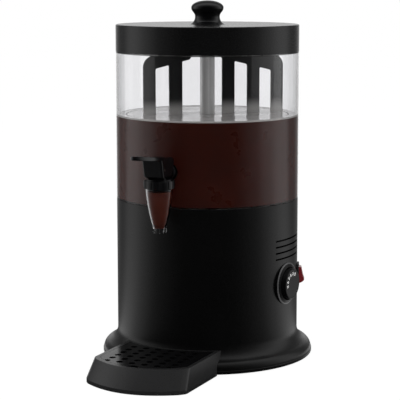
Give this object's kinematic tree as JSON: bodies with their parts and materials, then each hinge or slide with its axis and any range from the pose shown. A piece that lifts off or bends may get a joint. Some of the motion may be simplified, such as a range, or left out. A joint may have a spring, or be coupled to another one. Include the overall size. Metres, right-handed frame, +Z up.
{
  "type": "hot chocolate dispenser",
  "caption": "Round hot chocolate dispenser: black heated base with dial and rocker, clear container with comb agitator and column, lid with knob, lever tap with spout, drip tray with grid.",
  "frame": {"origin": "middle of the whole machine's footprint, drip tray included, on the table; the drum's axis is 51 mm behind it", "axes": "+Z up, -Y towards the user (tap and drip tray), +X the viewer's right as they face the machine"},
  "size_m": [0.28, 0.382, 0.467],
  "materials": {
    "satin_black": "satin",
    "gloss_black": "high gloss",
    "matt_black": "fine matt",
    "ring_grey": "satin",
    "clear": "clear, polished",
    "steel": "turned and polished",
    "plated": "zinc plated",
    "motor_case": "satin",
    "bronze": "sintered, oiled",
    "rubber": "matt",
    "silicone": "soft matt",
    "rocker_red": "translucent gloss",
    "chocolate": "liquid, glossy",
    "number_white": "printed, satin"
  },
  "bodies": {
    "base": {"base_housing": "satin_black", "bottom_plate": "plated", "water_pan": "steel", "pan_turret": "steel", "shaft_bush": "bronze", "heating_element": "steel", "motor_bracket": "plated", "gearbox": "motor_case", "drive_motor": "plated", "dial_bezel": "ring_grey", "thermostat": "plated", "switch_frame": "matt_black", "cable_gland": "matt_black", "gland_nut": "matt_black", "foot_1": "rubber", "foot_2": "rubber", "foot_3": "rubber", "foot_4": "rubber", "foot_screw_1": "plated", "foot_screw_2": "plated", "foot_screw_3": "plated", "foot_screw_4": "plated"},
    "drive_shaft": {"drive_shaft": "steel"},
    "container": {"container": "clear", "drink_rim": "chocolate", "centre_column": "steel", "column_seal": "silicone", "column_nut": "matt_black", "tap_body": "gloss_black", "tap_gasket": "silicone", "tap_nut": "matt_black", "tap_collar": "gloss_black", "tap_spout": "clear", "lever_pin": "steel"},
    "agitator": {"agitator": "matt_black", "drink_core": "chocolate"},
    "lid": {"lid": "satin_black", "lid_knob": "gloss_black", "knob_screw": "steel"},
    "tap_lever": {"tap_lever": "gloss_black"},
    "tap_plunger": {"tap_plunger": "steel", "tap_seal": "silicone", "tap_spring": "steel"},
    "drip_tray": {"drip_tray": "satin_black"},
    "drip_grid": {"drip_grid": "gloss_black"},
    "dial": {"dial_knob": "gloss_black", "dial_spindle": "steel"},
    "rocker": {"switch_rocker": "rocker_red"}
  },
  "joints": [
    {"name": "shaft_turn", "type": "hinge", "parent": "base", "child": "drive_shaft", "pos_m": [0, 0.051, 0.12], "axis": [0, 0, 1], "continuous": true},
    {"name": "container_lift", "type": "slide", "parent": "base", "child": "container", "axis": [0, 0, 1], "range_m": [0, 0.22]},
    {"name": "agitator_turn", "type": "hinge", "parent": "container", "child": "agitator", "pos_m": [0, 0.051, 0.4], "axis": [0, 0, 1], "continuous": true},
    {"name": "lid_lift", "type": "slide", "parent": "container", "child": "lid", "axis": [0, 0, 1], "range_m": [0, 0.06]},
    {"name": "lever_press", "type": "hinge", "parent": "container", "child": "tap_lever", "pos_m": [0, -0.104, 0.262], "axis": [1, 0, 0], "range_deg": [0, 20], "stiffness_Nm_per_rad": 0.15, "springref_deg": -20.05},
    {"name": "plunger_lift", "type": "slide", "parent": "container", "child": "tap_plunger", "axis": [0, 0, 1], "range_m": [0, 0.0039], "deforming": ["tap_spring"]},
    {"name": "tray_slide", "type": "slide", "parent": "base", "child": "drip_tray", "axis": [0, -1, 0], "range_m": [0, 0.15]},
    {"name": "grid_lift", "type": "slide", "parent": "drip_tray", "child": "drip_grid", "axis": [0, 0, 1], "range_m": [0, 0.05]},
    {"name": "dial_turn", "type": "hinge", "parent": "base", "child": "dial", "pos_m": [0.1195, 0.0378, 0.1027], "axis": [0.994, -0.1097, 0], "range_deg": [0, 270]},
    {"name": "rocker_tilt", "type": "hinge", "parent": "base", "child": "rocker", "pos_m": [0.1132, 0.0922, 0.1045], "axis": [-0.342, 0.9397, 0], "range_deg": [0, 24]}
  ],
  "couplings": [
    {"joint": "agitator_turn", "follows": "shaft_turn", "ratio": 1},
    {"joint": "plunger_lift", "follows": "lever_press", "m_per_rad": 0.011}
  ]
}
